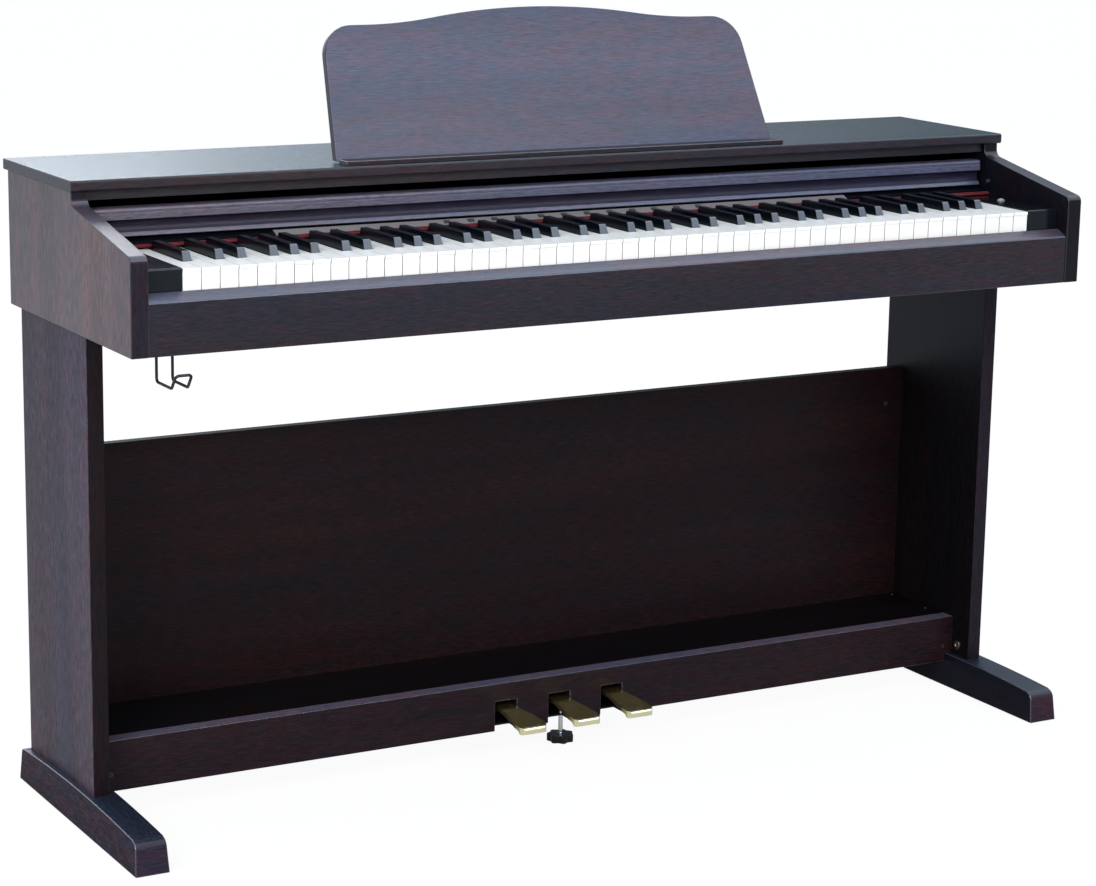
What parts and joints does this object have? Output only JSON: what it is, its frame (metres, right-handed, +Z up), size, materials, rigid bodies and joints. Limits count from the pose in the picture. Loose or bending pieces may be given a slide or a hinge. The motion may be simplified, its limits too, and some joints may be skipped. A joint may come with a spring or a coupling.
{
  "type": "digital piano on stand",
  "caption": "Console digital piano in dark wood laminate: full-size keyboard, sliding key cover, folding music desk, panel stand and brass pedals.",
  "frame": {"origin": "on the floor, under the middle of the whole piano's box", "axes": "+X along the keyboard from bass to treble, +Y to the piano's back, +Z up"},
  "size_m": [1.375, 0.422, 0.9868],
  "materials": {
    "side_laminate": "wood-grain laminate, satin",
    "top_laminate": "wood-grain laminate, satin",
    "inner_laminate": "wood-grain laminate, satin",
    "slip_laminate": "wood-grain laminate, satin",
    "leg_laminate": "wood-grain laminate, satin",
    "rear_laminate": "wood-grain laminate, satin",
    "shelf_laminate": "dark laminate, matt",
    "cover_moulding": "laminate-wrapped moulding, satin",
    "black_plastic": "glossy",
    "overlay": "printed film",
    "buttons": "satin",
    "red_felt": "felt",
    "inner_plastic": "moulded",
    "nylon": "moulded",
    "white_key": "polished",
    "black_key": "satin",
    "steel": "plated",
    "can_metal": "sheet metal",
    "circuit_board": "solder mask",
    "black_metal": "painted black",
    "brass": "polished",
    "knob_plastic": "moulded",
    "hook_metal": "painted black"
  },
  "bodies": {
    "cabinet": {"left_side_panel": "side_laminate", "right_side_panel": "side_laminate", "top_board": "top_laminate", "upper_front_rail": "inner_laminate", "back_board": "inner_laminate", "key_bed": "inner_laminate", "key_slip": "slip_laminate", "left_cheek_block": "black_plastic", "right_cheek_block": "black_plastic", "control_panel": "black_plastic", "panel_overlay": "overlay", "felt_strip": "red_felt", "key_frame": "inner_plastic", "key_pivot_rod": "steel", "cover_tracks": "inner_plastic", "music_ledge": "top_laminate", "desk_hinges": "steel", "main_board": "circuit_board", "power_supply": "can_metal", "speakers": "inner_plastic", "speaker_grilles": "black_metal", "socket_plate": "inner_plastic", "left_leg": "leg_laminate", "right_leg": "leg_laminate", "left_foot": "leg_laminate", "right_foot": "leg_laminate", "rear_panel": "rear_laminate", "pedal_rail": "rear_laminate", "pedal_shelf": "shelf_laminate", "pedal_box": "black_metal", "pedal_rod": "steel", "left_pedal_spring": "steel", "middle_pedal_spring": "steel", "right_pedal_spring": "steel", "headphone_hook": "hook_metal", "stand_screws": "steel"},
    "white_keys_c": {"white_keys_c": "white_key"},
    "black_keys_c_sharp": {"black_keys_c_sharp": "black_key"},
    "white_keys_d": {"white_keys_d": "white_key"},
    "black_keys_d_sharp": {"black_keys_d_sharp": "black_key"},
    "white_keys_e": {"white_keys_e": "white_key"},
    "white_keys_f": {"white_keys_f": "white_key"},
    "black_keys_f_sharp": {"black_keys_f_sharp": "black_key"},
    "white_keys_g": {"white_keys_g": "white_key"},
    "black_keys_g_sharp": {"black_keys_g_sharp": "black_key"},
    "white_keys_a": {"white_keys_a": "white_key"},
    "black_keys_a_sharp": {"black_keys_a_sharp": "black_key"},
    "white_keys_b": {"white_keys_b": "white_key"},
    "key_cover": {"cover_moulding": "cover_moulding", "cover_board": "inner_laminate", "cover_runners": "nylon"},
    "desk": {"music_desk": "top_laminate", "desk_hinge_leaves": "steel"},
    "prop": {"desk_prop": "steel"},
    "buttons": {"panel_buttons": "buttons"},
    "power_switch": {"power_button": "buttons"},
    "left_pedal_lever": {"left_pedal": "brass"},
    "middle_pedal_lever": {"middle_pedal": "brass"},
    "right_pedal_lever": {"right_pedal": "brass"},
    "adjuster": {"pedal_adjuster": "knob_plastic"}
  },
  "joints": [
    {"name": "white_keys_c_press", "type": "hinge", "parent": "cabinet", "child": "white_keys_c", "pos_m": [0, 0.024, 0.7045], "axis": [1, 0, 0], "range_deg": [0, 2.6], "stiffness_Nm_per_rad": 15, "springref_deg": -7.45},
    {"name": "black_keys_c_sharp_press", "type": "hinge", "parent": "cabinet", "child": "black_keys_c_sharp", "pos_m": [0, 0.024, 0.7045], "axis": [1, 0, 0], "range_deg": [0, 2.6], "stiffness_Nm_per_rad": 9, "springref_deg": -7.45},
    {"name": "white_keys_d_press", "type": "hinge", "parent": "cabinet", "child": "white_keys_d", "pos_m": [0, 0.024, 0.7045], "axis": [1, 0, 0], "range_deg": [0, 2.6], "stiffness_Nm_per_rad": 15, "springref_deg": -7.45},
    {"name": "black_keys_d_sharp_press", "type": "hinge", "parent": "cabinet", "child": "black_keys_d_sharp", "pos_m": [0, 0.024, 0.7045], "axis": [1, 0, 0], "range_deg": [0, 2.6], "stiffness_Nm_per_rad": 9, "springref_deg": -7.45},
    {"name": "white_keys_e_press", "type": "hinge", "parent": "cabinet", "child": "white_keys_e", "pos_m": [0, 0.024, 0.7045], "axis": [1, 0, 0], "range_deg": [0, 2.6], "stiffness_Nm_per_rad": 15, "springref_deg": -7.45},
    {"name": "white_keys_f_press", "type": "hinge", "parent": "cabinet", "child": "white_keys_f", "pos_m": [0, 0.024, 0.7045], "axis": [1, 0, 0], "range_deg": [0, 2.6], "stiffness_Nm_per_rad": 15, "springref_deg": -7.45},
    {"name": "black_keys_f_sharp_press", "type": "hinge", "parent": "cabinet", "child": "black_keys_f_sharp", "pos_m": [0, 0.024, 0.7045], "axis": [1, 0, 0], "range_deg": [0, 2.6], "stiffness_Nm_per_rad": 9, "springref_deg": -7.45},
    {"name": "white_keys_g_press", "type": "hinge", "parent": "cabinet", "child": "white_keys_g", "pos_m": [0, 0.024, 0.7045], "axis": [1, 0, 0], "range_deg": [0, 2.6], "stiffness_Nm_per_rad": 15, "springref_deg": -7.45},
    {"name": "black_keys_g_sharp_press", "type": "hinge", "parent": "cabinet", "child": "black_keys_g_sharp", "pos_m": [0, 0.024, 0.7045], "axis": [1, 0, 0], "range_deg": [0, 2.6], "stiffness_Nm_per_rad": 9, "springref_deg": -7.45},
    {"name": "white_keys_a_press", "type": "hinge", "parent": "cabinet", "child": "white_keys_a", "pos_m": [0, 0.024, 0.7045], "axis": [1, 0, 0], "range_deg": [0, 2.6], "stiffness_Nm_per_rad": 15, "springref_deg": -7.45},
    {"name": "black_keys_a_sharp_press", "type": "hinge", "parent": "cabinet", "child": "black_keys_a_sharp", "pos_m": [0, 0.024, 0.7045], "axis": [1, 0, 0], "range_deg": [0, 2.6], "stiffness_Nm_per_rad": 9, "springref_deg": -7.45},
    {"name": "white_keys_b_press", "type": "hinge", "parent": "cabinet", "child": "white_keys_b", "pos_m": [0, 0.024, 0.7045], "axis": [1, 0, 0], "range_deg": [0, 2.6], "stiffness_Nm_per_rad": 15, "springref_deg": -7.45},
    {"name": "cover_slide", "type": "slide", "parent": "cabinet", "child": "key_cover", "axis": [0, -1, 0], "range_m": [0, 0.16]},
    {"name": "desk_fold", "type": "hinge", "parent": "cabinet", "child": "desk", "pos_m": [0, 0.026, 0.8081], "axis": [-1, 0, 0], "range_deg": [0, 65]},
    {"name": "prop_fold", "type": "hinge", "parent": "desk", "child": "prop", "pos_m": [0, 0.06361, 0.88987], "axis": [-1, 0, 0], "range_deg": [-130, 0]},
    {"name": "buttons_press", "type": "slide", "parent": "cabinet", "child": "buttons", "axis": [0, 0.4191, -0.908], "range_m": [0, 0.0008], "stiffness_N_per_m": 2000, "springref_m": -0.0005},
    {"name": "power_press", "type": "slide", "parent": "cabinet", "child": "power_switch", "axis": [0, 0, -1], "range_m": [0, 0.002], "stiffness_N_per_m": 1500, "springref_m": -0.001},
    {"name": "left_pedal_press", "type": "hinge", "parent": "cabinet", "child": "left_pedal_lever", "pos_m": [0, 0.089, 0.0645], "axis": [1, 0, 0], "range_deg": [0, 6], "stiffness_Nm_per_rad": 20, "springref_deg": -5.73, "deforming": ["left_pedal_spring"]},
    {"name": "middle_pedal_press", "type": "hinge", "parent": "cabinet", "child": "middle_pedal_lever", "pos_m": [0, 0.089, 0.0645], "axis": [1, 0, 0], "range_deg": [0, 6], "stiffness_Nm_per_rad": 20, "springref_deg": -5.73, "deforming": ["middle_pedal_spring"]},
    {"name": "right_pedal_press", "type": "hinge", "parent": "cabinet", "child": "right_pedal_lever", "pos_m": [0, 0.089, 0.0645], "axis": [1, 0, 0], "range_deg": [0, 6], "stiffness_Nm_per_rad": 20, "springref_deg": -5.73, "deforming": ["right_pedal_spring"]},
    {"name": "adjuster_turn", "type": "hinge", "parent": "cabinet", "child": "adjuster", "pos_m": [0.0175, 0.017, 0.005], "axis": [0, 0, 1], "continuous": true}
  ],
  "couplings": [
    {"joint": "prop_fold", "follows": "desk_fold", "ratio": -2}
  ]
}
